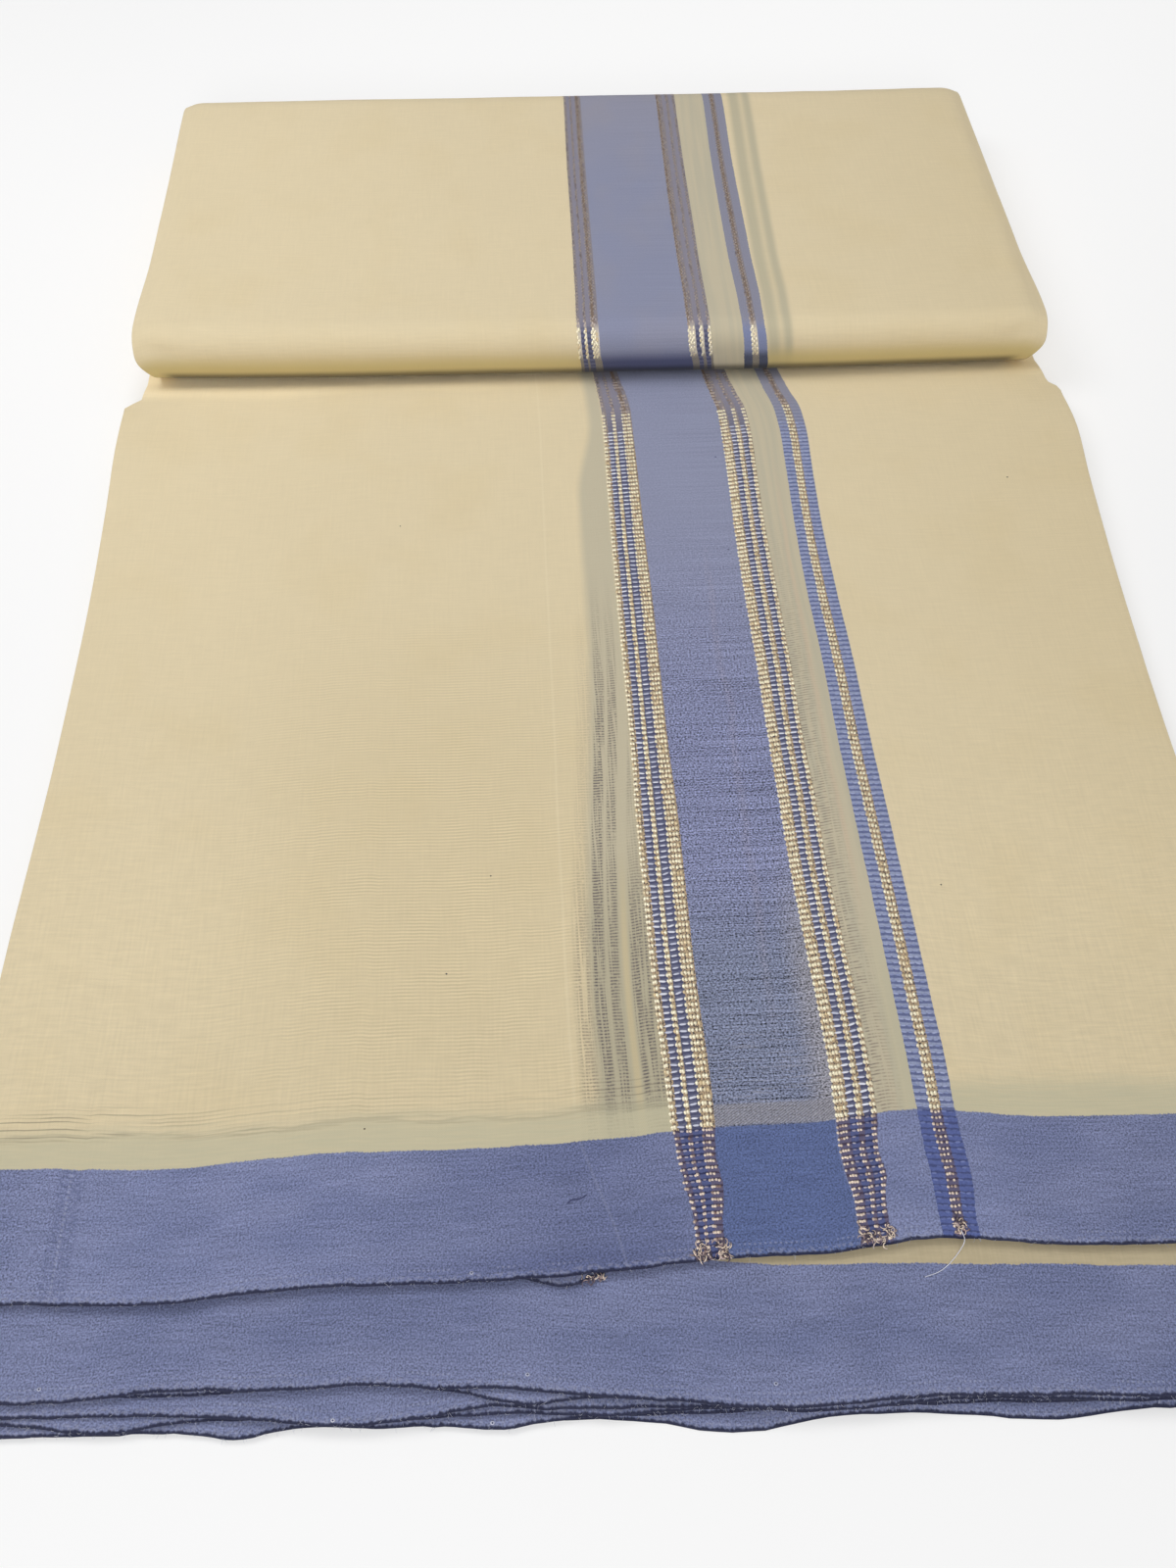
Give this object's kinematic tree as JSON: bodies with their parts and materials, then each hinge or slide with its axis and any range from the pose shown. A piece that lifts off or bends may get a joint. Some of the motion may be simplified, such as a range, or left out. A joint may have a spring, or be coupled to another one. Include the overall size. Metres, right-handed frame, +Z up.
{
  "type": "folded dhoti cloth",
  "caption": "Folded cotton dhoti lying flat: a bundle of striped leaves with spread selvedges, rolled flat at its far end.",
  "frame": {"origin": "on the floor, below the middle of the folded cloth", "axes": "+Z up, +Y from the spread selvedges to the flat roll, +X to the right seen from the selvedges"},
  "size_m": [0.509, 0.7562, 0.0425],
  "materials": {
    "cream_cotton": "matt plain weave, cream ground with blue cross bands and dull gold threads",
    "blue_selvedge": "matt fine twill selvedge border in lavender blue",
    "folded_layers": "matt cream cotton seen at its folds"
  },
  "bodies": {
    "root": {"bottom_leaf": "cream_cotton", "seventh_leaf": "blue_selvedge", "sixth_leaf": "blue_selvedge", "fifth_leaf": "blue_selvedge", "fourth_leaf": "blue_selvedge", "third_leaf": "blue_selvedge", "second_leaf": "blue_selvedge", "top_leaf": "cream_cotton", "pressed_leaves": "folded_layers", "roll_layers": "folded_layers", "roll_skin": "cream_cotton"}
  },
  "joints": []
}
